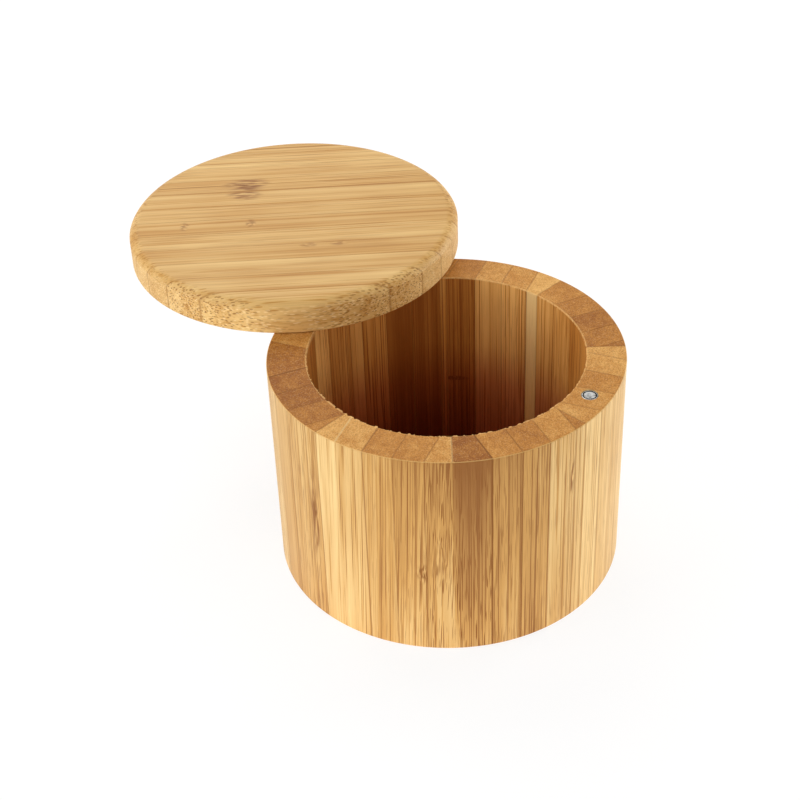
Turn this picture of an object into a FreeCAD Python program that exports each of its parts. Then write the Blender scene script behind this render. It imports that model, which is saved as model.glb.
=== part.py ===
import FreeCAD, Part
import math
import os

# A round bamboo box with a lid that swivels on one pin and is caught by a magnet.
# Sizes are millimetres and angles degrees. +Z is up, and the origin is the middle of the underside.
# The pivot pin stands on the -X side. Turns are counter-clockwise, seen from above.

# Wall
OUTER_DIAMETER = 90.0
BODY_HEIGHT = 59.0
WALL = 10.0
RIM_CHAMFER = 0.6
MOUTH_CHAMFER = 0.3
FOOT_CHAMFER = 0.6

# Wall panels, mitred into a polygon: how far each one's strips lie off its middle line, in strip widths
PANEL_STRIPS = 5
PANEL_SHIFTS = [0.02, -0.48, 0.15, -0.23, -0.13, 0.33, -0.03, 0.38]
FIRST_PANEL_TURN = 1.2

# Base disc, let into a rabbet under the wall
BASE_THICKNESS = 6.0
BASE_RABBET = 3.0
BASE_GLUE_GAP = 0.1
BASE_STRIPS = 4
BASE_SHIFT = -0.15
BASE_GRAIN_TURN = 30.0

# Lid, turned flush with the wall
LID_THICKNESS = 9.0
LID_TOP_ROUND = 3.5
LID_ROUND_START = 25.0
ROUND_STEPS = 4
LID_UNDER_CHAMFER = 0.4
LID_RUNNING_GAP = 0.2
LID_STRIPS = 12
LID_SHIFT = -0.04
LID_GRAIN_TURN = -92.7
LID_OPEN_TURN = 119.0

# Pivot pin: glued into the wall, turning in a blind hole in the lid
FIXING_SHIFT = 0.5
PIN_DIAMETER = 3.0
PIN_END_CHAMFER = 0.4
PIN_SEAT_DEPTH = 12.0
PIN_GLUE_GAP = 0.02
PIN_RUNNING_GAP = 0.05
PIN_COVER = 3.0
PIN_END_GAP = 0.3

# Catch magnets: one in the rim, one in the underside of the lid
CATCH_TURN = -7.2
MAGNET_DIAMETER = 4.0
MAGNET_LENGTH = 3.0
MAGNET_EDGE_CHAMFER = 0.2
MAGNET_GLUE_GAP = 0.1
MAGNET_RECESS = 0.2

# Worked out from the sizes above
outer_radius = OUTER_DIAMETER / 2
inner_radius = outer_radius - WALL
base_radius = inner_radius + BASE_RABBET - BASE_GLUE_GAP
lid_under = BODY_HEIGHT + LID_RUNNING_GAP
lid_top = lid_under + LID_THICKNESS
fixing_radius = outer_radius - WALL / 2 - FIXING_SHIFT
panel_half_turn = 180.0 / len(PANEL_SHIFTS)
panel_width = 2 * outer_radius * math.tan(math.radians(panel_half_turn))
pin_hole_depth = LID_THICKNESS - PIN_COVER

ORIGIN = FreeCAD.Vector(0, 0, 0)
UP = FreeCAD.Vector(0, 0, 1)
pivot = FreeCAD.Vector(-fixing_radius, 0, 0)
catch = FreeCAD.Vector(fixing_radius * math.cos(math.radians(CATCH_TURN)),
                       fixing_radius * math.sin(math.radians(CATCH_TURN)), 0)


def turned(outline):
    """A solid turned about +Z from a closed outline of radius and height pairs."""
    points = [FreeCAD.Vector(0, radius, height) for radius, height in outline]
    return Part.Face(Part.makePolygon(points + points[:1])).revolve(ORIGIN, UP, 360)


def rod(radius, bottom, top, chamfer):
    """An upright round rod with chamfered ends."""
    return turned([
        (0, bottom),
        (radius - chamfer, bottom),
        (radius, bottom + chamfer),
        (radius, top - chamfer),
        (radius - chamfer, top),
        (0, top),
    ])


def round_edge(radius, height, size, start):
    """Outline points of a rounded top edge, from a crease on the side up to the flat, in straight steps."""
    turns = [math.radians(start + (90 - start) * step / ROUND_STEPS) for step in range(ROUND_STEPS + 1)]
    middle = radius - size * math.cos(turns[0])
    return [(middle + size * math.cos(turn), height - size + size * math.sin(turn)) for turn in turns]


def sawn(blank, width, count, shift):
    """A blank cut along X into strips, in order of Y. A shift moves the seams, in strip widths."""
    box = blank.BoundBox
    seams = [(shift + number - count / 2) * width / count for number in range(1, count)]
    bounds = [box.YMin] + seams + [box.YMax]
    strips = []
    for low, high in zip(bounds, bounds[1:]):
        corner = FreeCAD.Vector(box.XMin, low, box.ZMin)
        slab = Part.makeBox(box.XLength, high - low, box.ZLength, corner)
        strips.append(blank.common(slab))
    return strips


def upright(place, diameter, bottom, top):
    """An upright cylinder, to bore a hole with."""
    return Part.makeCylinder(diameter / 2, top - bottom, FreeCAD.Vector(place.x, place.y, bottom))


def bored(pieces, holes):
    """Each piece with the holes that reach it cut away."""
    return {name: piece.cut(holes) for name, piece in pieces.items()}


def wall_strips():
    """The upright strips of the turned wall, panel by panel."""
    rabbet_radius = inner_radius + BASE_RABBET
    ring = turned([
        (rabbet_radius, 0),
        (outer_radius - FOOT_CHAMFER, 0),
        (outer_radius, FOOT_CHAMFER),
        (outer_radius, BODY_HEIGHT - RIM_CHAMFER),
        (outer_radius - RIM_CHAMFER, BODY_HEIGHT),
        (inner_radius + MOUTH_CHAMFER, BODY_HEIGHT),
        (inner_radius, BODY_HEIGHT - MOUTH_CHAMFER),
        (inner_radius, BASE_THICKNESS),
        (rabbet_radius, BASE_THICKNESS),
    ])
    wedge = Part.Face(Part.makePolygon([
        ORIGIN,
        FreeCAD.Vector(outer_radius, -panel_width / 2, 0),
        FreeCAD.Vector(outer_radius, panel_width / 2, 0),
        ORIGIN,
    ]))
    panel = ring.common(wedge.extrude(UP * BODY_HEIGHT))
    pieces = {}
    for number, shift in enumerate(PANEL_SHIFTS):
        for place, strip in enumerate(sawn(panel, panel_width, PANEL_STRIPS, shift), 1):
            strip.rotate(ORIGIN, UP, FIRST_PANEL_TURN + 2 * panel_half_turn * number)
            pieces[f"panel_{number + 1}_strip_{place}"] = strip
    return bored(pieces, [
        upright(pivot, PIN_DIAMETER + 2 * PIN_GLUE_GAP, BODY_HEIGHT - PIN_SEAT_DEPTH, BODY_HEIGHT),
        upright(catch, MAGNET_DIAMETER + 2 * MAGNET_GLUE_GAP,
                BODY_HEIGHT - MAGNET_RECESS - MAGNET_LENGTH, BODY_HEIGHT),
    ])


def base_strips():
    """The flat strips of the base disc, flush with the foot of the wall."""
    disc = Part.makeCylinder(base_radius, BASE_THICKNESS)
    pieces = {}
    for place, strip in enumerate(sawn(disc, 2 * base_radius, BASE_STRIPS, BASE_SHIFT), 1):
        strip.rotate(ORIGIN, UP, BASE_GRAIN_TURN)
        pieces[f"base_strip_{place}"] = strip
    return pieces


def pin():
    """The steel pin, standing in the wall and reaching up into the lid."""
    foot = BODY_HEIGHT - PIN_SEAT_DEPTH
    head = lid_under + pin_hole_depth - PIN_END_GAP
    shaft = rod(PIN_DIAMETER / 2, foot, head, PIN_END_CHAMFER)
    shaft.translate(pivot)
    return shaft


def magnet(bottom):
    """A disc magnet with eased edges, over the catch."""
    disc = rod(MAGNET_DIAMETER / 2, bottom, bottom + MAGNET_LENGTH, MAGNET_EDGE_CHAMFER)
    disc.translate(catch)
    return disc


def lid_pieces():
    """The strips of the lid and its magnet, made closed and swung open about the pin."""
    disc = turned([
        (0, lid_under),
        (outer_radius - LID_UNDER_CHAMFER, lid_under),
        (outer_radius, lid_under + LID_UNDER_CHAMFER),
        *round_edge(outer_radius, lid_top, LID_TOP_ROUND, LID_ROUND_START),
        (0, lid_top),
    ])
    pieces = {}
    for place, strip in enumerate(sawn(disc, OUTER_DIAMETER, LID_STRIPS, LID_SHIFT), 1):
        strip.rotate(ORIGIN, UP, LID_GRAIN_TURN)
        pieces[f"lid_strip_{place:02d}"] = strip
    magnet_bottom = lid_under + MAGNET_RECESS
    pieces = bored(pieces, [
        upright(pivot, PIN_DIAMETER + 2 * PIN_RUNNING_GAP, lid_under, lid_under + pin_hole_depth),
        upright(catch, MAGNET_DIAMETER + 2 * MAGNET_GLUE_GAP, lid_under, magnet_bottom + MAGNET_LENGTH),
    ])
    pieces["lid_magnet"] = magnet(magnet_bottom)
    for piece in pieces.values():
        piece.rotate(pivot, UP, LID_OPEN_TURN)
    return pieces


def main():
    """Makes every piece and writes it under its own name."""
    pieces = wall_strips()
    pieces.update(base_strips())
    pieces["pivot_pin"] = pin()
    pieces["rim_magnet"] = magnet(BODY_HEIGHT - MAGNET_RECESS - MAGNET_LENGTH)
    pieces.update(lid_pieces())
    os.makedirs("parts", exist_ok=True)
    for name, shape in pieces.items():
        shape.exportStep(f"parts/{name}.step")


main()
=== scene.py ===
"""Dresses a round bamboo box with a swivel lid: its strips, pin and magnets, and a white studio."""

import math
import random

import bmesh
import bpy
import numpy as np
from bpy.props import FloatProperty, FloatVectorProperty, IntProperty, PointerProperty
from mathutils import Euler, Matrix, Vector, noise


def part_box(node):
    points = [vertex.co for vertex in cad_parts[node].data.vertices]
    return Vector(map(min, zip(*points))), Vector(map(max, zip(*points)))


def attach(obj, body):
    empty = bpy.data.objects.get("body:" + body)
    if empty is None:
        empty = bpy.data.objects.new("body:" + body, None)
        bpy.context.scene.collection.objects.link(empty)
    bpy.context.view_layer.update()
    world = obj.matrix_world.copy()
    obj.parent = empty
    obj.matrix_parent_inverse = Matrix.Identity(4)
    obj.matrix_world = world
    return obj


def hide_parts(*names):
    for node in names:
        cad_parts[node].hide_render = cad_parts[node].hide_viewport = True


bl_info = {
    "name": "Bamboo Swivel Box",
    "version": (1, 0, 0),
    "blender": (4, 5, 0),
    "location": "View3D > Sidebar > Bamboo Box",
    "description": "Dresses a round bamboo box with its strips, metal fittings and studio",
    "category": "Object",
}

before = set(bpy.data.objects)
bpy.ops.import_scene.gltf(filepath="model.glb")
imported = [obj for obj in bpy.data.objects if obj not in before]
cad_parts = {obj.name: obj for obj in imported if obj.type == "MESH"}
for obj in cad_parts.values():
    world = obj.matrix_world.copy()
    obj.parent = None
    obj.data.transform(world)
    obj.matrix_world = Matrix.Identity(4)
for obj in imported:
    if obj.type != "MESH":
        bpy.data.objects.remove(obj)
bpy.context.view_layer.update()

MM = 0.001
WHITE = (1, 1, 1, 1)

# Gaps round the pin and the magnets, and the rounding of their ends
PIN_GLUE_GAP = 0.02 * MM
PIN_RUNNING_GAP = 0.05 * MM
PIN_END_GAP = 0.3 * MM
PIN_EASE = 0.4 * MM
MAGNET_GLUE_GAP = 0.1 * MM
MAGNET_EASE = 0.12 * MM

# Groove round a magnet's face, as shares of the magnet's radius, its depth and its eased edges
RING_INNER, RING_OUTER = 0.74, 0.86
RING_DEPTH = 0.4 * MM
INNER_EASE, OUTER_EASE = 0.08 * MM, 0.05 * MM

# Mesh. Steps and the crease, where the lid's rounding starts on its side, are degrees.
WELD = 0.0005 * MM
SHARP_ANGLE = math.radians(20)
DISC_STEP = 1.2
LID_CREASE = 25

# Chips along the mouth: weight, width in millimetres and seed of each size, and the turn that has the most
CHIPS = ((1.0, 1.1, (7.3, 1.0)), (0.7, 0.5, (2.1, 5.0)), (0.5, 0.28, (4.4, 9.0)))
CHIPPED_TURN = math.radians(-85)

# Looks. A wall's painted shade inside is that at the rim, and what it gains down to the base.
BUMP = 0.05 * MM
# The rim's wear is partly a painted highlight along its outer edge
RIM_WEAR_AND_HIGHLIGHT, MOUTH_WEAR, TORN_WEAR = 0.45, 0.4, 0.5
WALL_SHADE, PALE_WALL_SHADE = (0.1, 0.9), (0.025, 0.03)
BASE_SHADE, LEAST_SHADE = 0.3, 0.02
NICKEL_ROUGHNESS, STEEL_ROUGHNESS = 0.32, 0.3
# Colour of the painted shade deep in a magnet's groove
GROOVE_SHADE_COLOUR = (0.02, 0.015, 0.01, 1)

# Studio: the camera's sensor, in Blender's millimetres, half the width of the floor and its glow for the eye
SENSOR_WIDTH = 36.0
FLOOR_REACH, FLOOR_GLOW = 3.0, 0.8

# Places where light comes off the floor, with the reach of the full light and of any, and the lamps, with
# their size and the setting of their power
BOUNCES = (((0.03, -0.074, 0), 0.05, 0.13), ((0.11, 0.03, 0), 0.04, 0.12))
LAMPS = {
    "key_lamp": ((-0.35, 0.35, 0.60), 0.6, "key_power"),
    "front_lamp": ((0.46, -0.46, 0.24), 0.4, "front_power"),
    "left_lamp": ((-0.57, -0.48, 0.30), 0.5, "left_power"),
    "right_lamp": ((0.44, 0.63, 0.20), 0.35, "right_power"),
}

# The strips, in the order that they lie in
PANELS = 8
WALL = [sorted(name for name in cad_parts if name.startswith(f"panel_{panel}_"))
        for panel in range(1, PANELS + 1)]
LID = sorted(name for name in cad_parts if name.startswith("lid_strip"))
BASE = sorted(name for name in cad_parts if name.startswith("base_strip"))
ALL_ROUND = sum(WALL, [])
MITRE = math.pi / PANELS

# Tones of the strips, from 0, darkest, to 1, palest. A wall panel has them outside, on the rim and inside.
OUTER_TONES = [
    (0.77, 0.70, 0.67, 0.80, 0.80),
    (0.50, 0.55, 0.45, 0.60, 0.55),
    (0.85, 0.55, 0.60, 0.40, 0.50),
    (0.50, 0.40, 0.32, 0.45, 0.50),
    (0.55, 0.50, 0.60, 0.55, 0.60),
    (0.76, 0.69, 0.43, 0.56, 0.50),
    (0.69, 0.56, 0.52, 0.46, 0.44),
    (0.25, 0.32, 0.34, 0.63, 0.63),
]
RIM_TONES = [
    (0.62, 0.58, 0.43, 0.71, 0.71),
    (0.25, 0.32, 0.24, 0.37, 0.45),
    (0.82, 0.59, 0.63, 0.45, 0.53),
    (0.48, 0.38, 0.27, 0.48, 0.48),
    (0.48, 0.48, 0.40, 0.60, 0.20),
    (0.22, 0.15, 0.13, 0.27, 0.39),
    (0.74, 0.68, 0.48, 0.46, 0.63),
    (0.18, 0.46, 0.34, 0.58, 0.37),
]
INNER_TONES = [
    (0.50, 0.55, 0.45, 0.50, 0.45),
    (0.38, 0.45, 0.36, 0.66, 0.75),
    (1.15, 0.91, 0.78, 0.17, 0.60),
    (0.59, 0.05, 0.04, 0.47, 0.75),
    (0.47, 0.53, 0.95, 0.25, 0.30),
    (0.50, 0.40, 0.45, 0.40, 0.45),
    (0.60, 0.50, 0.45, 0.50, 0.40),
    (0.35, 0.45, 0.40, 0.50, 0.45),
]
LID_TONES = (0.70, 0.62, 0.66, 0.58, 0.67, 0.57, 0.65, 0.70, 0.58, 0.67, 0.74, 0.62)
LID_END_TONES = (0.95, 0.86, 0.76, 0.78, 0.72, 0.65, 0.68, 0.70, 0.62, 0.68, 0.70, 0.65)
BASE_TONES = (0.58, 0.48, 0.66, 0.55)

# Strength of a strip's long lines, of its short dashes and of the dots on its ends, where not left to chance
MARKS = {
    "panel_6_strip_4": (0.9, 0.7, 0.7),
    "panel_6_strip_5": (1.2, 0.8, 0.7),
    "panel_7_strip_1": (0.7, 0.1, 0.8),
    "panel_7_strip_2": (1.1, 0.2, 0.8),
    "panel_7_strip_3": (0.9, 0.4, 0.8),
    "panel_7_strip_4": (1.1, 0.6, 0.8),
    "panel_7_strip_5": (0.8, 1.4, 0.8),
    "panel_8_strip_1": (1.2, 2.0, 0.8),
    "panel_8_strip_2": (1.4, 0.9, 0.8),
    "panel_8_strip_3": (1.4, 0.6, 0.8),
    "panel_8_strip_4": (1.2, 0.5, 0.8),
    "panel_3_strip_1": (0.3, 0.2, 0.4),
    "lid_strip_01": (0.8, 0.3, 1.2),
    "lid_strip_02": (0.8, 0.3, 1.2),
    "lid_strip_03": (0.8, 0.3, 0.5),
    "lid_strip_04": (0.8, 0.3, 0.25),
    "lid_strip_05": (0.8, 0.4, 0.3),
}

# How dark the glue line is between a strip and the next one, where not as usual. A minus is a pale line.
USUAL_GLUE = 0.4
GLUE = {"panel_6_strip_1": 1.3, "panel_8_strip_1": 1.2, "panel_7_strip_1": -0.7, "panel_7_strip_5": -0.4,
        "panel_7_strip_2": 0.6, "panel_8_strip_2": 0.6,
        "lid_strip_01": 0.45, "lid_strip_02": 0.45, "lid_strip_03": 0.4}

# Strips that get hardly any painted shade inside the box
PALE_INSIDE = ("panel_3_strip_1",)

# Knuckles of the stalk, where a strip has them: place across, one or two places along, half width, half
# length and darkness. One lies in a crack that shows only inside the box.
NOWHERE = 1000.0
KNUCKLES = {
    "panel_7_strip_4": ((10.4, 25.0, NOWHERE), (2.2, 3.2, 1.2)),
    "panel_7_strip_5": ((14.2, 29.0, NOWHERE), (2.8, 8.0, 0.5)),
    "panel_6_strip_5": ((15.0, 31.5, NOWHERE), (1.8, 13.0, 1.3)),
    "panel_8_strip_4": ((13.4, 45.8, NOWHERE), (0.8, 6.0, 1.0)),
    "panel_3_strip_4": ((10.0, 26.3, NOWHERE), (3.4, 0.8, 3.0)),
    "lid_strip_08": ((13.2, -13.6, NOWHERE), (3.6, 5.6, 1.0)),
    "lid_strip_09": ((18.6, -13.2, NOWHERE), (4.4, 7.0, 1.25)),
    "lid_strip_06": ((-3.2, -29.7, -11.7), (2.6, 1.6, 0.75)),
    "lid_strip_04": ((-16.4, 4.0, 12.0), (1.4, 2.6, 0.6)),
}
NO_KNUCKLE = ((NOWHERE, NOWHERE, NOWHERE), (1.0, 1.0, 0.0))
CRACKED_INSIDE = ("panel_3_strip_4",)

# How far the fibres of a panel lean, in millimetres across for each millimetre up, and about which point
LEANS = {"panel_6": 0.022, "panel_7": 0.035}
LEAN_MIDDLE = (0, 0, 30)

# Painted light and shade: what a strip's outside gains in tone from the middle of its height to the rim, and
# loses down to the foot
PAINTED_LIGHT_FADES = {
    "panel_6_strip_3": 0.10, "panel_6_strip_4": 0.10, "panel_6_strip_5": 0.08, "panel_7_strip_1": 0.07,
    "panel_7_strip_4": -0.14, "panel_7_strip_5": -0.18, "panel_8_strip_1": -0.28, "panel_8_strip_2": -0.15,
    "panel_8_strip_4": 0.04, "panel_8_strip_5": 0.06, "panel_1_strip_1": 0.05, "panel_1_strip_2": 0.05,
}


def corners(nodes):
    """Every mesh corner of some CAD nodes, at rest."""
    return np.array([vertex.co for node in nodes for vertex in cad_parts[node].data.vertices])


def way_across(node):
    """Angle of the way across a straight strip, seen from above, which is where the strip is narrowest."""
    angles = np.radians(np.arange(0, 180, 0.01))
    reach = corners([node])[:, :2] @ np.array([np.cos(angles), np.sin(angles)])
    return float(angles[np.ptp(reach, axis=0).argmin()])


# Sizes that the frame gives
wall_corners = corners(ALL_ROUND)
wall_radii = np.hypot(wall_corners[:, 0], wall_corners[:, 1])
OUTER_RADIUS = float(wall_radii.max())
INNER_RADIUS = float(wall_radii.min())
RABBET_RADIUS = float(wall_radii[wall_corners[:, 2] < 0.1 * MM].min())
RIM = float(wall_corners[:, 2].max())
lid_corners = corners(LID)
LID_UNDER = float(lid_corners[:, 2].min())
LID_TOP = float(lid_corners[:, 2].max())
LID_CENTRE = Vector((lid_corners.min(axis=0) + lid_corners.max(axis=0)) / 2)
LID_RADIUS = float(np.ptp(lid_corners[:, :2], axis=0).max() / 2)
base_corners = corners(BASE)
BASE_TOP = float(base_corners[:, 2].max())
BASE_RADIUS = float(np.hypot(base_corners[:, 0], base_corners[:, 1]).max())


# Settings

def in_mm(name, description, size):
    """A length, given in millimetres."""
    return FloatProperty(name=name, description=description, default=size * MM, unit="LENGTH")


def in_degrees(name, description, degrees):
    """An angle, given in degrees."""
    return FloatProperty(name=name, description=description, default=math.radians(degrees), subtype="ANGLE")


def as_factor(name, description, strength):
    """A strength, of which 1 is the full one."""
    return FloatProperty(name=name, description=description, default=strength, subtype="FACTOR")


def in_watts(name, description, watts):
    """The power of a lamp, in watts."""
    return FloatProperty(name=name, description=description, default=watts, unit="POWER")


def in_rgb(name, description, *colour):
    """An opaque colour, given as red, green and blue."""
    return FloatVectorProperty(name=name, description=description, default=(*colour, 1),
                               subtype="COLOR", size=4)


class BoxSizes(bpy.types.PropertyGroup):
    """Sizes of the eased edges, the seams and the mesh."""

    rim_ease: in_mm("Rim Ease", "Rounding of the rim's outer edge", 0.3)
    mouth_ease: in_mm("Mouth Ease", "Rounding of the rim's inner edge", 0.35)
    foot_ease: in_mm("Foot Ease", "Rounding of the foot", 0.6)
    lid_round: in_mm("Lid Round", "Rounding of the lid's top edge", 3.5)
    lid_ease: in_mm("Lid Ease", "Rounding of the lid's lower edge", 0.4)
    groove: in_mm("Seam Groove", "Depth of the fine groove along a glued seam", 0.05)
    fray: in_mm("Fray", "Depth of the chips along the mouth", 1.0)
    lip: in_mm("Hole Lip", "Flare at the mouth of a drilled hole", 0.12)
    column: in_mm("Column", "Width of a mesh column on the wall", 0.26)
    arc_steps: IntProperty(name="Arc Steps", description="Steps in a quarter round", default=6, min=2)
    lathe_steps: IntProperty(
        name="Lathe Steps", description="Steps round a turned metal piece", default=72, min=12)


class BambooLook(bpy.types.PropertyGroup):
    """Colours of the bamboo."""

    dark: in_rgb("Dark", "Colour of the darkest strip", 0.27, 0.105, 0.022)
    middle: in_rgb("Middle", "Colour of a middling strip", 0.56, 0.302, 0.085)
    pale: in_rgb("Pale", "Colour of the palest strip", 0.86, 0.62, 0.28)
    line: in_rgb("Line", "Colour of the fibre bundles", 0.25, 0.092, 0.016)
    # Torn also colours the painted highlight along the rim's outer edge
    torn: in_rgb("Torn", "Colour of torn fibres and worn edges", 0.88, 0.56, 0.21)
    # Tints of the painted shade inside the box: at the mouth, half way down and deep inside
    mouth: in_rgb("Mouth", "Tint of the wood inside the mouth", 1.0, 0.77, 0.52)
    well: in_rgb("Well", "Tint of the wood half way down the box", 0.74, 0.41, 0.33)
    deep: in_rgb("Deep", "Tint of the wood deep inside the box", 0.45, 0.17, 0.2)
    glint: in_rgb("Glint", "Colour of the pale fibre ends", 1.0, 0.8, 0.46)
    roughness: as_factor("Roughness", "Roughness of the sanded and oiled wood", 0.5)
    sheen: as_factor("Sheen", "Strength of the wood's mirror light", 0.15)


class WallGrain(bpy.types.PropertyGroup):
    """Grain of the wall's strips."""

    pitch: in_mm("Bundle Pitch", "Distance between fibre bundles", 0.6)
    streaks: FloatProperty(name="Streaks", description="Fine streaks in a millimetre across", default=2.4)
    dash: in_mm("Dash", "Length of a short dash", 8.0)
    flat_glue: as_factor("Flat Glue", "Strength of the glue lines on a level face", 1.0)
    lines: as_factor("Lines", "Strength of the lines along a side", 1.0)
    side: in_rgb("Side", "Tint of a side", 1.0, 1.0, 1.0)
    dots: as_factor("Dots", "Strength of the bundles on a cut end", 0.4)
    rows: as_factor("Rows", "Strength of the bundles on an upright side", 0.0)
    end: in_rgb("End", "Tint of a cut end", 0.98, 0.78, 0.54)


class DiscGrain(bpy.types.PropertyGroup):
    """Grain of the strips of the lid and the base."""

    pitch: in_mm("Bundle Pitch", "Distance between fibre bundles", 0.56)
    streaks: FloatProperty(name="Streaks", description="Fine streaks in a millimetre across", default=1.3)
    dash: in_mm("Dash", "Length of a short dash", 18.0)
    flat_glue: as_factor("Flat Glue", "Strength of the glue lines on a level face", 0.3)
    lines: as_factor("Lines", "Strength of the lines along a side", 0.65)
    side: in_rgb("Side", "Tint of a side", 1.0, 0.955, 0.865)
    dots: as_factor("Dots", "Strength of the bundles on a cut end", 0.6)
    rows: as_factor("Rows", "Strength of the bundles on an upright side", 0.4)
    end: in_rgb("End", "Tint of a cut end", 1.0, 0.96, 0.92)


class MetalLook(bpy.types.PropertyGroup):
    """Colours of the metal fittings."""

    nickel: in_rgb("Nickel", "Colour of the plated magnets", 0.3, 0.3, 0.29)
    steel: in_rgb("Steel", "Colour of the pivot pin", 0.52, 0.52, 0.53)


class StudioLook(bpy.types.PropertyGroup):
    """Camera, lights and floor of the studio."""

    lens: FloatProperty(name="Lens", description="Focal length", default=74.39, unit="CAMERA")
    distance: in_mm("Distance", "From the camera to the middle of the rim", 414.0)
    azimuth: in_degrees("Azimuth", "Turn of the camera round the box", 22.4)
    elevation: in_degrees("Elevation", "Height of the camera over the rim, as an angle", 34.29)
    pan: in_degrees("Pan", "Sideways turn of the camera off the rim", -2.001)
    tilt: in_degrees("Tilt", "Downward tilt of the camera", 35.923)
    roll: in_degrees("Roll", "Roll of the camera", -2.25)
    ambient: FloatProperty(name="Ambient", description="Strength of the white surroundings", default=0.33)
    key_power: in_watts("Key", "Power of the large lamp overhead", 2.85)
    front_power: in_watts("Front", "Power of the faint lamp at the front", 1.35)
    left_power: in_watts("Left", "Power of the lamp at the left", 3.3)
    right_power: in_watts("Right", "Power of the lamp at the right", 3.1)
    bounce: FloatProperty(
        name="Bounce", description="Extra light off the floor before the box and at its right", default=0.9)
    floor: in_rgb("Floor", "Colour of the floor", 0.94, 0.94, 0.94)


class BoxSettings(bpy.types.PropertyGroup):
    """Everything about the box that a user may change."""

    sizes: PointerProperty(type=BoxSizes)
    bamboo: PointerProperty(type=BambooLook)
    wall_grain: PointerProperty(type=WallGrain)
    disc_grain: PointerProperty(type=DiscGrain)
    metal: PointerProperty(type=MetalLook)
    studio: PointerProperty(type=StudioLook)


# Node trees

class Tree:
    """Short calls that add nodes to a shader and link them."""

    def __init__(self, tree):
        tree.nodes.clear()
        self.tree = tree

    def add(self, kind, inputs=None, **settings):
        """A new node. An input is given a value, or another node's output to link."""
        node = self.tree.nodes.new("ShaderNode" + kind)
        for name, value in settings.items():
            setattr(node, name, value)
        for name, value in (inputs or {}).items():
            if isinstance(value, bpy.types.NodeSocket):
                self.tree.links.new(value, node.inputs[name])
            else:
                node.inputs[name].default_value = value
        return node

    def attribute(self, name, output="Fac"):
        """A mesh attribute, by name."""
        return self.add("Attribute", attribute_name=name).outputs[output]

    def parts(self, vector):
        """The X, Y and Z of a vector."""
        return self.add("SeparateXYZ", {"Vector": vector}).outputs

    def split(self, name):
        """The X, Y and Z of a mesh attribute."""
        return self.parts(self.attribute(name, "Vector"))

    def maths(self, operation, *values, clamp=False):
        """A sum on numbers."""
        return self.add("Math", dict(enumerate(values)), operation=operation, use_clamp=clamp).outputs[0]

    def times(self, first, second, clamp=False):
        """Two numbers multiplied."""
        return self.maths("MULTIPLY", first, second, clamp=clamp)

    def plus(self, start, value, factor, clamp=False):
        """A number plus another one times a factor."""
        return self.maths("MULTIPLY_ADD", value, factor, start, clamp=clamp)

    def vectors(self, operation, *values):
        """A sum on vectors."""
        node = self.add("VectorMath", dict(enumerate(values)), operation=operation)
        return node.outputs["Value" if operation in ("DOT_PRODUCT", "LENGTH") else "Vector"]

    def step(self, value, low, high, to_low=0.0, to_high=1.0):
        """A smooth step of a number, between two limits."""
        inputs = {"Value": value, "From Min": low, "From Max": high, "To Min": to_low, "To Max": to_high}
        return self.add("MapRange", inputs, interpolation_type="SMOOTHSTEP").outputs["Result"]

    def fall(self, value, low, high):
        """A smooth fall from 1 to 0, between two limits."""
        return self.step(value, low, high, 1.0, 0.0)

    def noise(self, vector, waves, detail=2.0, roughness=0.5, output="Fac"):
        """Noise over a vector, with so many waves in a unit of X, Y and Z."""
        inputs = {"Vector": self.vectors("MULTIPLY", vector, waves), "Scale": 1.0,
                  "Detail": detail, "Roughness": roughness}
        return self.add("TexNoise", inputs).outputs[output]

    def drift(self, vector, waves, reach):
        """A slow drift across the fibres, by up to a reach in millimetres to each side."""
        wave = self.noise(vector, waves, 1.0, output="Color")
        return self.vectors("MULTIPLY_ADD", wave, (2 * reach, 2 * reach, 0), (-reach, -reach, 0))

    def cells(self, vector, dimensions="3D", randomness=1.0):
        """Cells round scattered points."""
        inputs = {"Vector": vector, "Scale": 1.0, "Randomness": randomness}
        return self.add("TexVoronoi", inputs, voronoi_dimensions=dimensions).outputs

    def mix(self, factor, first, second, blend="MIX"):
        """One colour mixed with another."""
        node = self.add("Mix", {0: factor, 6: first, 7: second}, data_type="RGBA", blend_type=blend)
        return node.outputs[2]

    def ramp(self, value, first, last, *stops):
        """Colours for a number from 0 to 1: the first, the last, and stops on the way."""
        node = self.add("ValToRGB", {"Fac": value})
        node.color_ramp.elements[0].color = first
        node.color_ramp.elements[1].color = last
        for place, colour in stops:
            node.color_ramp.elements.new(place).color = colour
        return node.outputs["Color"]

    def surface(self, height, strength, inputs):
        """Ends a material with a bumpy surface."""
        bump = self.add("Bump", {"Height": height, "Strength": strength, "Distance": BUMP}).outputs["Normal"]
        shader = self.add("BsdfPrincipled", {**inputs, "Normal": bump})
        self.add("OutputMaterial", {"Surface": shader.outputs[0]})


def new_material(name):
    """An empty material and the short calls for its nodes."""
    material = bpy.data.materials.new(name)
    material.use_nodes = True
    return material, Tree(material.node_tree)


def knuckle(tree, place):
    """How near a knuckle is, from 0 to 1, and its half width, half length and darkness."""
    middle = tree.split("knuckle")
    knot = tree.split("knot")
    first = tree.maths("ABSOLUTE", tree.maths("SUBTRACT", place["Z"], middle["Y"]))
    second = tree.maths("ABSOLUTE", tree.maths("SUBTRACT", place["Z"], middle["Z"]))
    along = tree.maths("DIVIDE", tree.maths("MINIMUM", first, second), knot["Y"])
    across = tree.maths("DIVIDE", tree.maths("SUBTRACT", place["Y"], middle["X"]), knot["X"])
    away = tree.vectors("LENGTH", tree.add("CombineXYZ", {"X": across, "Y": along}).outputs[0])
    return tree.fall(away, 0.35, 1.15), knot


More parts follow.
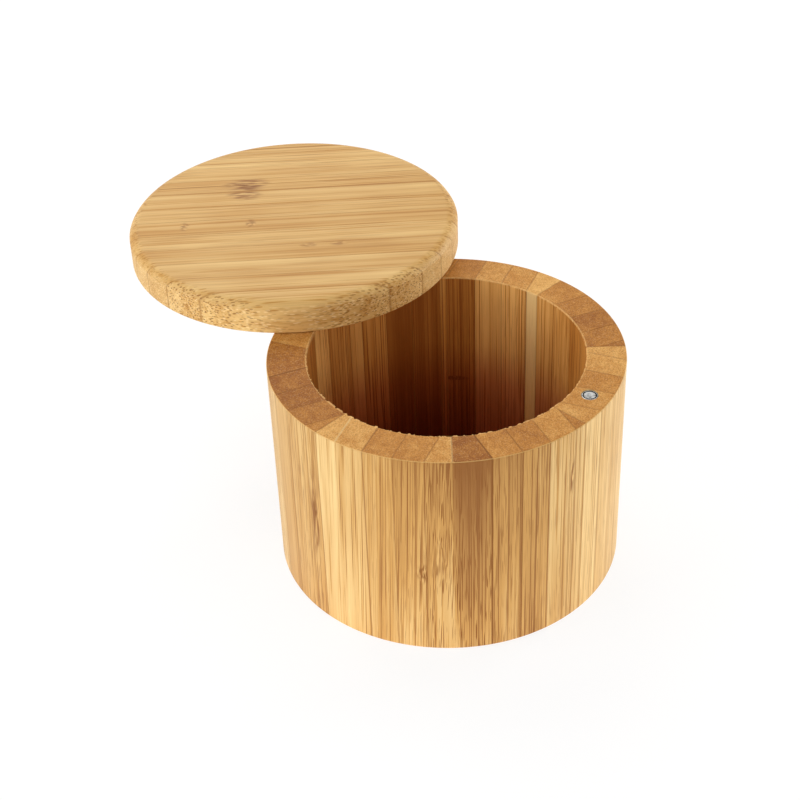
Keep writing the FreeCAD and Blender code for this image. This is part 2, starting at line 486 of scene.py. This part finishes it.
def fibres(tree, bent, weave):
    """Bundles of fibre: dots and pale glints on an end, and fine and bold lines and dashes along a side."""
    across = MM / weave.pitch
    bundle = tree.vectors("MULTIPLY", bent, (across, across, 0.4))
    dot = tree.fall(tree.cells(bundle, randomness=0.9)["Distance"], 0.25, 0.38)
    beside = tree.vectors("ADD", bundle, (3.7, 1.9, 5.3))
    glint = tree.fall(tree.cells(beside)["Distance"], 0.24, 0.34)
    thread = tree.cells(tree.vectors("MULTIPLY", bent, (weave.streaks, weave.streaks, 1.0)), "2D")
    fine = tree.times(tree.fall(thread["Distance"], 0.1, 0.36), tree.parts(thread["Color"])["X"])
    wide, thin = 0.8 * weave.streaks, 1.7 * weave.streaks
    bold = tree.step(tree.noise(bent, (wide, wide, 0.025), 0.0), 0.64, 0.74)
    dash = tree.step(tree.noise(bent, (thin, thin, MM / weave.dash), 0.0), 0.59, 0.66)
    return dot, glint, fine, bold, dash


def bamboo(name, fibre, look, weave):
    """Bamboo. Bundles of fibre run right through it, and show as dots on an end and as lines along a side."""
    material, tree = new_material(name)
    grain = tree.attribute("grain", "Vector")
    tones = tree.split("tones")
    marks = tree.split("marks")
    # Painted shade inside the box, which also tells the inside from the outside
    stain = tree.attribute("stain")
    inside = tree.maths("GREATER_THAN", stain, LEAST_SHADE)

    # The fibres wander slowly as they run along, and swirl round a knuckle
    near, knot = knuckle(tree, tree.parts(grain))
    wander = tree.drift(grain, (0.13, 0.13, 0.009), 0.2)
    swirl = tree.drift(grain, (0.25, 0.25, 0.1), 0.6)
    bent = tree.vectors("ADD", tree.vectors("ADD", grain, wander), tree.vectors("MULTIPLY", swirl, near))
    dot, glint, fine, bold, dash = fibres(tree, bent, weave)

    # A face that looks along the fibre is a cut end, and any other is a side
    normal = tree.add("TexCoord").outputs["Normal"]
    facing = tree.maths("ABSOLUTE", tree.vectors("DOT_PRODUCT", normal, tuple(fibre)))
    level = tree.maths("ABSOLUTE", tree.parts(normal)["Z"])
    end = tree.step(facing, 0.45, 0.92)
    side = tree.plus(weave.lines, end, -weave.lines)

    # Tone of the strip, with broad bands along it, patches, lines on its sides and specks on its ends
    band = tree.noise(bent, (0.5, 0.5, 0.006))
    patch = tree.noise(grain, (0.12, 0.12, 0.03))
    speck = tree.step(tree.noise(grain, (3.3, 3.3, 3.3), 1.0), 0.35, 0.65)
    tone = tree.plus(tones["X"], inside, tree.maths("SUBTRACT", tones["Z"], tones["X"]))
    tone = tree.plus(tone, end, tree.maths("SUBTRACT", tones["Y"], tone))
    tone = tree.plus(tree.maths("SUBTRACT", tone, 0.25), band, 0.5)
    tone = tree.plus(tree.maths("SUBTRACT", tone, 0.2), patch, 0.4)
    lines = tree.plus(tree.plus(0.08, bold, -0.25), fine, -0.65)
    lines = tree.times(lines, tree.plus(1.0, inside, 0.6))
    tone = tree.plus(tone, lines, tree.times(side, marks["X"]))
    specks = tree.times(tree.maths("SUBTRACT", speck, 0.5), 0.24)
    tone = tree.plus(tone, specks, end, clamp=True)
    colour = tree.ramp(tone, look.dark, look.pale, (0.5, look.middle))
    colour = tree.mix(1.0, colour, tree.mix(end, weave.side, weave.end), "MULTIPLY")

    # Dots and glints on the ends, and dashes along the sides
    rows = tree.step(level, 0.3, 0.8, weave.rows, 0.0)
    dots = tree.maths("MAXIMUM", tree.step(facing, 0.04, 0.3), rows)
    dots = tree.times(dots, tree.times(marks["Z"], weave.dots))
    glints = tree.maths("MAXIMUM", tree.times(dots, 0.25), rows)
    colour = tree.mix(tree.times(glint, glints), colour, look.glint)
    colour = tree.mix(tree.times(dot, dots), colour, look.line)
    dashes = tree.times(tree.times(side, marks["Y"]), 0.62)
    colour = tree.mix(tree.times(dash, dashes), colour, look.line)

    # A knuckle is browner, with dark and pale flecks. The darkest have no pale ones.
    stretch = tree.add("CombineXYZ", {"X": 1.8, "Y": 1.8, "Z": tree.maths("DIVIDE", 1.3, knot["Y"])})
    fleck = tree.noise(bent, stretch.outputs[0], 1.0)
    flecks = tree.times(knot["Z"], tree.step(fleck, 0.42, 0.60, 0.15, 0.8))
    colour = tree.mix(tree.times(near, flecks, clamp=True), colour, look.line)
    fair = tree.maths("MINIMUM", knot["Z"], tree.maths("SUBTRACT", 2.0, knot["Z"]), clamp=True)
    flecks = tree.times(fair, tree.step(fleck, 0.36, 0.44, 0.45, 0.0))
    colour = tree.mix(tree.times(near, flecks), colour, look.torn)

    # Painted shade: inside the box the wood is darker and redder, the more so the deeper it is
    stops = (0.1, look.mouth), (0.45, look.mouth), (0.66, look.well)
    colour = tree.mix(1.0, colour, tree.ramp(stain, WHITE, look.deep, *stops), "MULTIPLY")

    # Glue lines, dark or pale, and worn edges, which are partly a painted highlight along the rim's outer
    # edge
    seam = tree.split("seam")
    glue = tree.split("glue")
    flat = tree.step(level, 0.8, 0.95, 1.0, weave.flat_glue)
    for edge in "XY":
        line = tree.times(tree.times(tree.fall(seam[edge], 0.1, 0.32), glue[edge]), flat)
        colour = tree.mix(tree.times(line, 0.8, clamp=True), colour, look.line)
        white = tree.times(tree.times(line, -0.8, clamp=True), end)
        colour = tree.mix(white, colour, look.pale)
    colour = tree.mix(tree.attribute("wear"), colour, look.torn)

    rough = tree.plus(tree.plus(look.roughness - 0.06, fine, 0.12), end, 0.12)
    height = tree.plus(tree.times(fine, -0.4), bold, -0.6)
    tree.surface(height, 0.35, {"Base Color": colour, "Roughness": rough, "Specular IOR Level": look.sheen})
    return material


def metal(name, colour, roughness):
    """Worn metal with fine turning marks and dull patches, and painted shade in a magnet's groove."""
    material, tree = new_material(name)
    spot = tree.add("TexCoord").outputs["Object"]
    grime = tree.attribute("grime")
    cloud = tree.noise(spot, (900, 900, 900), 4.0, 0.65)
    scratch = tree.noise(spot, (5200, 700, 2400))
    bright, dull = ([channel * share for channel in colour[:3]] + [1] for share in (1.2, 0.4))
    tint = tree.mix(tree.step(cloud, 0.4, 0.62), bright, dull)
    # Painted shade in the groove round a magnet's face
    tint = tree.mix(grime, tint, GROOVE_SHADE_COLOUR)
    rough = tree.plus(tree.plus(roughness - 0.15, cloud, 0.3), grime, 0.5)
    height = tree.plus(cloud, scratch, 0.5)
    tree.surface(height, 0.7, {"Base Color": tint, "Metallic": 1.0, "Roughness": rough})
    return material


# Meshes

def arc(centre, radius, start, end, steps):
    """Points of an arc in a section, as radius and height. Angles are degrees."""
    turns = np.radians(np.linspace(start, end, steps + 1))
    return [(centre[0] + radius * math.cos(turn), centre[1] + radius * math.sin(turn)) for turn in turns]


def inset(outline, depth, closed=True):
    """An outline moved inwards. It runs counter-clockwise, and an open one starts and ends level."""
    moved = []
    for place, point in enumerate(outline):
        before, after = outline[place - 1], outline[(place + 1) % len(outline)]
        if not closed and place == 0:
            before = (point[0] - MM, point[1])
        if not closed and place == len(outline) - 1:
            after = (point[0] - MM, point[1])
        way = Vector((after[0] - before[0], after[1] - before[1])).normalized()
        moved.append((point[0] - way.y * depth, point[1] + way.x * depth))
    return moved


def crossed(outline, radius):
    """A closed outline with a point added wherever it crosses a radius, and the places of those points."""
    points, places = [], []
    for point, after in zip(outline, outline[1:] + outline[:1]):
        points.append(point)
        if (point[0] - radius) * (after[0] - radius) < 0:
            share = (radius - point[0]) / (after[0] - point[0])
            places.append(len(points))
            points.append((radius, point[1] + share * (after[1] - point[1])))
    return points, places


def bridged(rings):
    """A bmesh with a row of points for each ring of places, and faces from each row to the next."""
    work = bmesh.new()
    rows = [[work.verts.new(point) for point in ring] for ring in rings]
    for row, after in zip(rows, rows[1:]):
        for place in range(len(row)):
            following = (place + 1) % len(row)
            work.faces.new((row[place], row[following], after[following], after[place]))
    return work, rows


def in_scene(name, data):
    """A new object in the scene."""
    thing = bpy.data.objects.new(name, data)
    bpy.context.scene.collection.objects.link(thing)
    return thing


def from_bmesh(name, work):
    """A new object from a finished bmesh."""
    mesh = bpy.data.meshes.new(name)
    work.to_mesh(mesh)
    work.free()
    return in_scene(name, mesh)


def joined(name, rings, splits=()):
    """A closed mesh from rings of points, each joined to the next, with the first and last filled."""
    work, rows = bridged(rings)
    for row in (rows[0], rows[-1]):
        parts = [row]
        if splits:
            low, high = splits
            parts = [row[low:high + 1], row[high:] + row[:low + 1]]
        for part in parts:
            work.faces.new(part)
    bmesh.ops.remove_doubles(work, verts=work.verts, dist=WELD)
    bmesh.ops.dissolve_degenerate(work, edges=work.edges, dist=WELD)
    bmesh.ops.recalc_face_normals(work, faces=work.faces)
    return from_bmesh(name, work)


def lathe(name, outline, centre, steps):
    """A solid turned about an upright axis from an outline that starts and ends on the axis."""
    turns = [2 * math.pi * step / steps for step in range(steps)]
    rings = [[(centre[0] + radius * math.cos(turn), centre[1] + radius * math.sin(turn), height)
              for turn in turns] for radius, height in outline]
    work, _ = bridged(rings)
    bmesh.ops.remove_doubles(work, verts=work.verts, dist=WELD)
    bmesh.ops.recalc_face_normals(work, faces=work.faces)
    return from_bmesh(name, work)


def middle_of(node):
    """The middle of a CAD node, at rest."""
    low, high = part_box(node)
    return (low + high) / 2


def strip_frame(strips, centre):
    """From the frame of a panel or disc, with its strips in order of Y, to the box's frame."""
    turn = way_across(strips[len(strips) // 2]) - math.pi / 2
    way = corners(strips[-1:]).mean(axis=0) - corners(strips[:1]).mean(axis=0)
    if way[1] * math.cos(turn) - way[0] * math.sin(turn) < 0:
        turn += math.pi
    return Matrix.Translation((centre.x, centre.y, 0)) @ Matrix.Rotation(turn, 4, "Z")


def seams_of(node, strips, to_strip, outermost):
    """Where a strip's two seams lie across its panel or disc, which ends at the outermost places."""
    places = [(to_strip @ Vector(corner)).y for corner in corners([node])]
    low = -outermost if node == strips[0] else min(places)
    high = outermost if node == strips[-1] else max(places)
    return low, high


def drilled(piece, node, gap, surface, bottom, sizes):
    """A strip with a hole bored into it from its top or its underside, round a CAD node."""
    low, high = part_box(node)
    radius, lip = (high.x - low.x) / 2 + gap, sizes.lip
    out = math.copysign(1.0, surface - bottom)
    outline = [
        (0.0, bottom),
        (radius, bottom),
        (radius, surface - out * lip),
        (radius + lip, surface),
        (radius + lip, surface + out * MM),
        (0.0, surface + out * MM),
    ]
    cutter = lathe("cutter", outline, (low + high) / 2, sizes.lathe_steps)
    modifier = piece.modifiers.new("hole", "BOOLEAN")
    modifier.operation = "DIFFERENCE"
    modifier.object = cutter
    modifier.solver = "EXACT"
    cut = bpy.data.meshes.new_from_object(piece.evaluated_get(bpy.context.evaluated_depsgraph_get()))
    piece.modifiers.remove(modifier)
    piece.data = cut
    bpy.data.objects.remove(cutter)


def painted_well_shade(point, node):
    """How much painted shade the wood gets at a point: more and more down the inside of the box."""
    radius = math.hypot(point.x, point.y)
    inside = radius < INNER_RADIUS + 0.3 * MM and BASE_TOP - 0.01 * MM < point.z < RIM - 0.02 * MM
    if not inside:
        return 0.0
    if radius < INNER_RADIUS - 2 * MM:
        return BASE_SHADE
    start, rise = PALE_WALL_SHADE if node in PALE_INSIDE else WALL_SHADE
    return start + rise * (RIM - point.z) / (RIM - BASE_TOP)


def grained(piece, node, before, to_strip, tones, seams, edge_wear_and_highlight=None):
    """Gives a strip its grain: where each point lies in it, and its seams, knuckles and tones.

    The tones are those of the outside, of the cut ends and of the inside."""
    draw = random.Random(node)
    offset = np.array([draw.uniform(-500, 500), 0, 0])
    spots = [vertex.co for vertex in piece.data.vertices]
    places = [to_strip @ spot for spot in spots]
    count = len(places)
    lean = np.array([[1, 0, 0], [0, 1, 0], [0, -LEANS.get(node[:7], 0.0), 1]])
    where, knot = KNUCKLES.get(node, NO_KNUCKLE)
    marks = MARKS.get(node, (draw.uniform(0.6, 1.1), draw.uniform(0.2, 0.6), draw.uniform(0.7, 1.1)))
    vectors = {
        "grain": (np.array(places) / MM - LEAN_MIDDLE) @ lean + LEAN_MIDDLE + offset,
        "tones": np.tile(tones, (count, 1)),
        "marks": np.tile(marks, (count, 1)),
        "knuckle": np.tile(where, (count, 1)),
        "knot": np.tile(knot, (count, 1)),
        "seam": np.array([(*seams(place), 0.0) for place in places]) / MM,
        "glue": np.tile((GLUE.get(before, USUAL_GLUE), GLUE.get(node, USUAL_GLUE), 0), (count, 1)),
    }
    numbers = {
        # Wear along the edges, partly a painted highlight on the rim's outer edge
        "wear": np.array([edge_wear_and_highlight(spot) if edge_wear_and_highlight else 0.0 for spot in spots]),
        # Painted shade down the inside of the box
        "stain": np.array([painted_well_shade(spot, node) for spot in spots]),
    }
    # Painted light and shade up each strip's outside
    rise = np.array([place.z for place in places]) / (RIM / 2) - 1
    vectors["tones"][:, 0] += PAINTED_LIGHT_FADES.get(node, 0.0) * rise
    if node in CRACKED_INSIDE:
        vectors["knot"][:, 2] *= numbers["stain"] > 0
    for name, value in (vectors | numbers).items():
        kind, field = ("FLOAT_VECTOR", "vector") if name in vectors else ("FLOAT", "value")
        attribute = piece.data.attributes.new(name, kind, "POINT")
        attribute.data.foreach_set(field, value.astype(np.float32).ravel())


def fitted(piece, node, body, material):
    """Hands a finished piece to the frame, in place of its CAD node."""
    piece.data.materials.clear()
    piece.data.materials.append(material)
    piece.data.shade_smooth()
    piece.data.set_sharp_from_angle(angle=SHARP_ANGLE)
    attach(piece, body)
    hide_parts(node)


# Wall

def wall_section(sizes):
    """Outline of the wall, counter-clockwise as radius and height, with eased edges and the base's rabbet."""
    steps, guard = sizes.arc_steps, 0.4 * MM
    torn = 1.2 * sizes.fray
    foot, rim, mouth = sizes.foot_ease, sizes.rim_ease, sizes.mouth_ease
    return [
        (RABBET_RADIUS, 0.0),
        *arc((OUTER_RADIUS - foot, foot), foot, -90, 0, steps),
        (OUTER_RADIUS, RIM - rim - guard),
        *arc((OUTER_RADIUS - rim, RIM - rim), rim, 0, 90, steps),
        (OUTER_RADIUS - rim - guard, RIM),
        (INNER_RADIUS + mouth + torn, RIM),
        *arc((INNER_RADIUS + mouth, RIM - mouth), mouth, 90, 180, steps),
        (INNER_RADIUS, RIM - mouth - torn),
        (INNER_RADIUS, BASE_TOP),
        (RABBET_RADIUS, BASE_TOP),
    ]


def chipped(point, sizes):
    """A point of the mouth's edge, moved back where the fibres are torn away, mostly at the front."""
    turn = math.atan2(point.y, point.x)
    place = turn * INNER_RADIUS / MM
    chip = sum(weight * noise.noise(Vector((place / width, *seed))) for weight, width, seed in CHIPS)
    front = 0.2 + 0.8 * max(0.0, math.cos(0.75 * (turn - CHIPPED_TURN))) ** 2
    depth = sizes.fray * front * max(-0.4, chip)
    out = Vector((point.x, point.y, 0)).normalized()
    return point + out * depth - Vector((0, 0, max(0.0, depth) * 0.5))


def rim_wear_and_highlight(point, sizes):
    """Wear along the outer edge of the rim and the mouth. On the rim's outer edge it is partly a painted
    highlight.
    """
    radius = math.hypot(point.x, point.y)
    deep = RIM - point.z
    # A thin pale line on top of the rim's rounding: wear and a painted highlight
    if deep < sizes.rim_ease * 0.6 and radius > OUTER_RADIUS - sizes.rim_ease * 0.6:
        return RIM_WEAR_AND_HIGHLIGHT
    front = max(0.0, -math.sin(math.atan2(point.y, point.x)))
    reach = 0.85 * sizes.mouth_ease + 0.5 * sizes.fray * front
    if 0.01 * MM < deep < reach and radius < INNER_RADIUS + sizes.fray:
        return MOUTH_WEAR + TORN_WEAR * max(0.0, noise.noise(point * 2200))
    return 0.0


def wall_strip(node, low, high, to_world, section, sizes):
    """One upright strip between two seams of a panel, cut off by the mitres where they come first."""
    slope = math.sin(MITRE)
    least = max((abs(limit) for limit in (low, high) if abs(limit) < OUTER_RADIUS), default=0.0) / slope
    bent = least > INNER_RADIUS
    wedge = bent and (low == -math.inf or high == math.inf)
    outline, splits = crossed(section, least) if bent else (section, ())
    sunk = inset(outline, sizes.groove)
    width = min(high, OUTER_RADIUS * slope) - max(low, -OUTER_RADIUS * slope)
    count = max(3, round(width / sizes.column))
    edge = sizes.groove / width
    shares = [0.0, *np.linspace(edge, 1 - edge, count), 1.0]
    rings = []
    for number, share in enumerate(shares):
        ring = []
        for radius, height in (sunk if number in (0, len(shares) - 1) else outline):
            reach = max(radius, least) if wedge else radius
            left = max(low, -reach * slope)
            right = min(high, reach * slope)
            across = left + (max(right, left) - left) * share
            point = to_world @ Vector((math.sqrt(reach ** 2 - across ** 2), across, height))
            if reach < INNER_RADIUS + 0.7 * sizes.mouth_ease and height > RIM - 0.99 * sizes.mouth_ease:
                point = chipped(point, sizes)
            ring.append(point)
        rings.append(ring)
    return joined("bamboo_" + node, rings, () if wedge else splits)


class BAMBOO_OT_wall(bpy.types.Operator):
    """Build the strips of the turned wall"""

    bl_idname = "bamboo_box.wall"
    bl_label = "Wall Strips"

    def execute(self, context):
        settings = context.scene.bamboo_box
        sizes = settings.sizes
        material = bamboo("wall_bamboo", (0, 0, 1), settings.bamboo, settings.wall_grain)
        section = wall_section(sizes)
        for strips, *panel_tones in zip(WALL, OUTER_TONES, RIM_TONES, INNER_TONES):
            to_world = strip_frame(strips, Vector())
            to_strip = to_world.inverted()
            for node, *tones in zip(strips, *panel_tones):
                low, high = seams_of(node, strips, to_strip, math.inf)

                def seams(place):
                    """How far a place is from the seams before and after the strip."""
                    level, rise = place.x * math.sin(MITRE), place.y * math.cos(MITRE)
                    return min(place.y - low, level + rise), min(high - place.y, level - rise)

                piece = wall_strip(node, low, high, to_world, section, sizes)
                for fixing, gap in (("pivot_pin", PIN_GLUE_GAP), ("rim_magnet", MAGNET_GLUE_GAP)):
                    place = to_strip @ middle_of(fixing)
                    if place.x > INNER_RADIUS * math.cos(MITRE) and low < place.y < high:
                        drilled(piece, fixing, gap, RIM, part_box(fixing)[0].z, sizes)
                before = ALL_ROUND[ALL_ROUND.index(node) - 1]
                grained(piece, node, before, to_strip, tones, seams, lambda point: rim_wear_and_highlight(point, sizes))
                fitted(piece, node, "box", material)
        return {"FINISHED"}


# Lid and base

def disc_strip(node, low, high, radius, section, to_world, groove):
    """One strip of a turned disc: a section with eased edges, cut along X at two seams."""
    start = math.asin(max(-1.0, low / radius))
    end = math.asin(min(1.0, high / radius))
    count = max(6, math.ceil(math.degrees(end - start) / DISC_STEP))
    places = [radius * math.sin(start + (end - start) * step / count) for step in range(count + 1)]
    sunk = inset(section, groove, closed=False)
    heights = [height for _, height in section]
    waist = (min(heights) + max(heights)) / 2

    def edge_height(away, height):
        """Height of the section's lower or upper edge at a distance from the middle."""
        for first, second in zip(section, section[1:]):
            near, far = sorted((first, second))
            upper = (first[1] + second[1]) / 2 > waist
            if near[0] <= away <= far[0] and upper == (height > waist):
                share = (away - near[0]) / max(far[0] - near[0], 1e-12)
                return near[1] + share * (far[1] - near[1])
        return waist

    def ring(place, outline):
        """The disc cut across at one place, right edge upwards and left edge down again."""
        points = []
        for away, height in outline:
            if away < abs(place):
                height = edge_height(abs(place), height)
            points.append((math.sqrt(max(away ** 2 - place ** 2, 0.0)), place, height))
        mirrored = [(-x, y, z) for x, y, z in reversed(points)]
        return [to_world @ Vector(point) for point in points + mirrored]

    rings = [ring(place, section) for place in places]
    if low > -radius:
        rings[0] = ring(places[0] + groove, section)
        rings.insert(0, ring(places[0], sunk))
    if high < radius:
        rings[-1] = ring(places[-1] - groove, section)
        rings.append(ring(places[-1], sunk))
    return joined("bamboo_" + node, rings)


def disc_section(radius, under, sizes, upper):
    """Half outline of a disc, as radius and height: an eased lower edge, and then the upper edge given."""
    ease = sizes.lid_ease
    return [*arc((radius - ease, under + ease), ease, -90, 0, sizes.arc_steps), *upper]


def build_disc(strips, tones, ends, centre, radius, section, body, slot, settings, holes=()):
    """Builds every strip of a disc. A hole is a CAD node, the gap round it and the top of the hole."""
    sizes = settings.sizes
    to_world = strip_frame(strips, centre)
    to_strip = to_world.inverted()
    fibre = to_world.to_3x3() @ Vector((1, 0, 0))
    material = bamboo(slot, fibre, settings.bamboo, settings.disc_grain)
    along = Matrix(((0, 0, 1, 0), (0, 1, 0, 0), (1, 0, 0, 0), (0, 0, 0, 1)))
    under = min(height for _, height in section)
    for number, (node, tone, end) in enumerate(zip(strips, tones, ends)):
        low, high = seams_of(node, strips, to_strip, radius)
        piece = disc_strip(node, low, high, radius, section, to_world, sizes.groove)
        for fixing, gap, top in holes:
            if low < (to_strip @ middle_of(fixing)).y < high:
                drilled(piece, fixing, gap, under, top, sizes)
        first = MM if number == 0 else 0.0
        last = MM if number == len(strips) - 1 else 0.0

        def seams(place):
            """How far a place is from the seams before and after the strip."""
            return place.y - low + first, high - place.y + last

        grained(piece, node, strips[number - 1], along @ to_strip, (tone, end, tone), seams)
        fitted(piece, node, body, material)


class BAMBOO_OT_base(bpy.types.Operator):
    """Build the strips of the base disc"""

    bl_idname = "bamboo_box.base"
    bl_label = "Base Strips"

    def execute(self, context):
        settings = context.scene.bamboo_box
        section = disc_section(BASE_RADIUS, 0.0, settings.sizes, [(BASE_RADIUS, BASE_TOP)])
        build_disc(BASE, BASE_TONES, BASE_TONES, Vector(), BASE_RADIUS, section, "box", "base_bamboo",
                   settings)
        return {"FINISHED"}


class BAMBOO_OT_lid(bpy.types.Operator):
    """Build the strips of the lid"""

    bl_idname = "bamboo_box.lid"
    bl_label = "Lid Strips"

    def execute(self, context):
        settings = context.scene.bamboo_box
        holes = (("pivot_pin", PIN_RUNNING_GAP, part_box("pivot_pin")[1].z + PIN_END_GAP),
                 ("lid_magnet", MAGNET_GLUE_GAP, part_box("lid_magnet")[1].z))
        sizes, top = settings.sizes, settings.sizes.lid_round
        middle = LID_RADIUS - top * math.cos(math.radians(LID_CREASE))
        upper = arc((middle, LID_TOP - top), top, LID_CREASE, 90, 2 * sizes.arc_steps)
        section = disc_section(LID_RADIUS, LID_UNDER, sizes, upper)
        build_disc(LID, LID_TONES, LID_END_TONES, LID_CENTRE, LID_RADIUS, section, "lid", "lid_bamboo",
                   settings, holes)
        return {"FINISHED"}


# Metal

def rod(name, node, body, material, ease, steps, rimmed=False):
    """A turned metal rod or disc with rounded ends, where its CAD node is. A rim has a groove inside with
    painted shade.
    """
    low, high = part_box(node)
    centre, radius, rise = (low + high) / 2, (high.x - low.x) / 2, (high.z - low.z) / 2
    inner, outer, deep = radius * RING_INNER, radius * RING_OUTER, rise - RING_DEPTH
    half = [(0.0, rise)]
    if rimmed:
        half += [(inner - INNER_EASE, rise), (inner, rise - INNER_EASE), (inner, deep)]
        half += [(outer, deep), (outer, rise - OUTER_EASE), (outer + OUTER_EASE, rise)]
    half += arc((radius - ease, rise - ease), ease, 90, 0, 4)
    outline = [(away, centre.z - up) for away, up in half]
    outline += [(away, centre.z + up) for away, up in reversed(half)]
    piece = lathe(name, outline, centre, steps)
    grime = []
    for vertex in piece.data.vertices:
        away = math.hypot(vertex.co.x - centre.x, vertex.co.y - centre.y)
        up = abs(vertex.co.z - centre.z)
        sunk = away < outer + OUTER_EASE / 2 and up < rise - OUTER_EASE / 2
        # Painted shade down in a rim's groove
        grime.append(1.0 if rimmed and sunk else 0.0)
    piece.data.attributes.new("grime", "FLOAT", "POINT").data.foreach_set("value", grime)
    fitted(piece, node, body, material)


class BAMBOO_OT_metal(bpy.types.Operator):
    """Build the pivot pin and the two catch magnets"""

    bl_idname = "bamboo_box.metal"
    bl_label = "Pin and Magnets"

    def execute(self, context):
        settings = context.scene.bamboo_box
        steps = settings.sizes.lathe_steps
        nickel = metal("magnet_nickel", settings.metal.nickel, NICKEL_ROUGHNESS)
        steel = metal("pin_steel", settings.metal.steel, STEEL_ROUGHNESS)
        rod("nickel_rim_magnet", "rim_magnet", "box", nickel, MAGNET_EASE, steps, True)
        rod("nickel_lid_magnet", "lid_magnet", "lid", nickel, MAGNET_EASE, steps, True)
        rod("steel_pivot_pin", "pivot_pin", "box", steel, PIN_EASE, steps)
        return {"FINISHED"}


# Studio

def area_lamp(name, place, size, power):
    """A square lamp that faces the middle of the box."""
    data = bpy.data.lights.new(name, "AREA")
    data.size = size
    data.energy = power
    lamp = in_scene(name, data)
    lamp.location = place
    lamp.rotation_euler = (Vector((0, 0, RIM / 2)) - lamp.location).to_track_quat("-Z", "Y").to_euler()


def white_for_eye(tree):
    """1 for rays from the camera and those in mirrors and glass, and 0 for rays that light the object."""
    path = tree.add("LightPath").outputs
    seen = tree.maths("MAXIMUM", path["Is Camera Ray"], path["Is Glossy Ray"])
    return tree.maths("MAXIMUM", seen, path["Is Transmission Ray"])


def build_world(studio):
    """White surroundings that light the box softly."""
    world = bpy.data.worlds.new("white_studio")
    bpy.context.scene.world = world
    world.use_nodes = True
    tree = Tree(world.node_tree)
    strength = tree.plus(studio.ambient, white_for_eye(tree), 1 - studio.ambient)
    glow = tree.add("Background", {"Color": WHITE, "Strength": strength})
    tree.add("OutputWorld", {"Surface": glow.outputs[0]})


def build_floor(studio):
    """A white floor that keeps a soft shadow and sends some light up at the box."""
    work = bmesh.new()
    bmesh.ops.create_grid(work, x_segments=8, y_segments=8, size=FLOOR_REACH)
    floor = from_bmesh("studio_floor", work)
    material, tree = new_material("white_floor")
    matt = tree.add("BsdfDiffuse", {"Color": studio.floor})
    eye = white_for_eye(tree)
    spot = tree.add("NewGeometry").outputs["Position"]
    front, right = (tree.fall(tree.vectors("LENGTH", tree.vectors("SUBTRACT", spot, place)), full, none)
                    for place, full, none in BOUNCES)
    bounce = tree.times(tree.maths("MAXIMUM", front, right), studio.bounce)
    bounce = tree.times(bounce, tree.maths("SUBTRACT", 1.0, eye))
    lift = tree.add("Emission", {"Color": WHITE, "Strength": bounce})
    lit = tree.add("AddShader", {0: matt.outputs[0], 1: lift.outputs[0]})
    white = tree.step(tree.vectors("LENGTH", spot), 0.25, 1.0, 1.05, 1.3)
    glow = tree.add("Emission", {"Color": WHITE, "Strength": white})
    mixed = tree.add("MixShader", {0: tree.times(eye, FLOOR_GLOW), 1: lit.outputs[0], 2: glow.outputs[0]})
    tree.add("OutputMaterial", {"Surface": mixed.outputs[0]})
    floor.data.materials.append(material)


def build_camera(studio):
    """The camera, aimed a little off the middle of the rim."""
    data = bpy.data.cameras.new("studio_camera")
    data.lens = studio.lens
    data.sensor_width = SENSOR_WIDTH
    camera = in_scene("studio_camera", data)
    level = studio.distance * math.cos(studio.elevation)
    place = Vector((level * math.sin(studio.azimuth), -level * math.cos(studio.azimuth),
                    RIM + studio.distance * math.sin(studio.elevation)))
    aim = Euler((math.pi / 2 - studio.tilt, 0, studio.azimuth - studio.pan)).to_matrix()
    turned = aim @ Matrix.Rotation(studio.roll, 3, "Z")
    camera.matrix_world = Matrix.Translation(place) @ turned.to_4x4()
    bpy.context.scene.camera = camera


class BAMBOO_OT_studio(bpy.types.Operator):
    """Build the floor, the lights and the camera"""

    bl_idname = "bamboo_box.studio"
    bl_label = "Studio"

    def execute(self, context):
        studio = context.scene.bamboo_box.studio
        context.scene.view_settings.view_transform = "Standard"
        build_world(studio)
        build_floor(studio)
        build_camera(studio)
        for name, (place, size, power) in LAMPS.items():
            area_lamp(name, place, size, getattr(studio, power))
        return {"FINISHED"}


OPERATORS = (BAMBOO_OT_wall, BAMBOO_OT_base, BAMBOO_OT_lid, BAMBOO_OT_metal, BAMBOO_OT_studio)


class BAMBOO_PT_box(bpy.types.Panel):
    """Settings and build steps of the bamboo box"""

    bl_label = "Bamboo Box"
    bl_space_type = "VIEW_3D"
    bl_region_type = "UI"
    bl_category = "Bamboo Box"

    def draw(self, context):
        for part in BoxSettings.__annotations__:
            group = getattr(context.scene.bamboo_box, part)
            box = self.layout.box()
            for name in group.__annotations__:
                box.prop(group, name)
        for operator in OPERATORS:
            self.layout.operator(operator.bl_idname)


CLASSES = (BoxSizes, BambooLook, WallGrain, DiscGrain, MetalLook, StudioLook, BoxSettings, *OPERATORS,
           BAMBOO_PT_box)


def register():
    """Adds the classes and the scene's settings."""
    for each in CLASSES:
        bpy.utils.register_class(each)
    bpy.types.Scene.bamboo_box = PointerProperty(type=BoxSettings)


def unregister():
    """Takes the settings and the classes away again."""
    del bpy.types.Scene.bamboo_box
    for each in reversed(CLASSES):
        bpy.utils.unregister_class(each)


def main():
    """Builds the whole scene."""
    register()
    bpy.ops.bamboo_box.wall()
    bpy.ops.bamboo_box.base()
    bpy.ops.bamboo_box.lid()
    bpy.ops.bamboo_box.metal()
    bpy.ops.bamboo_box.studio()


if __name__ == "__main__":
    main()
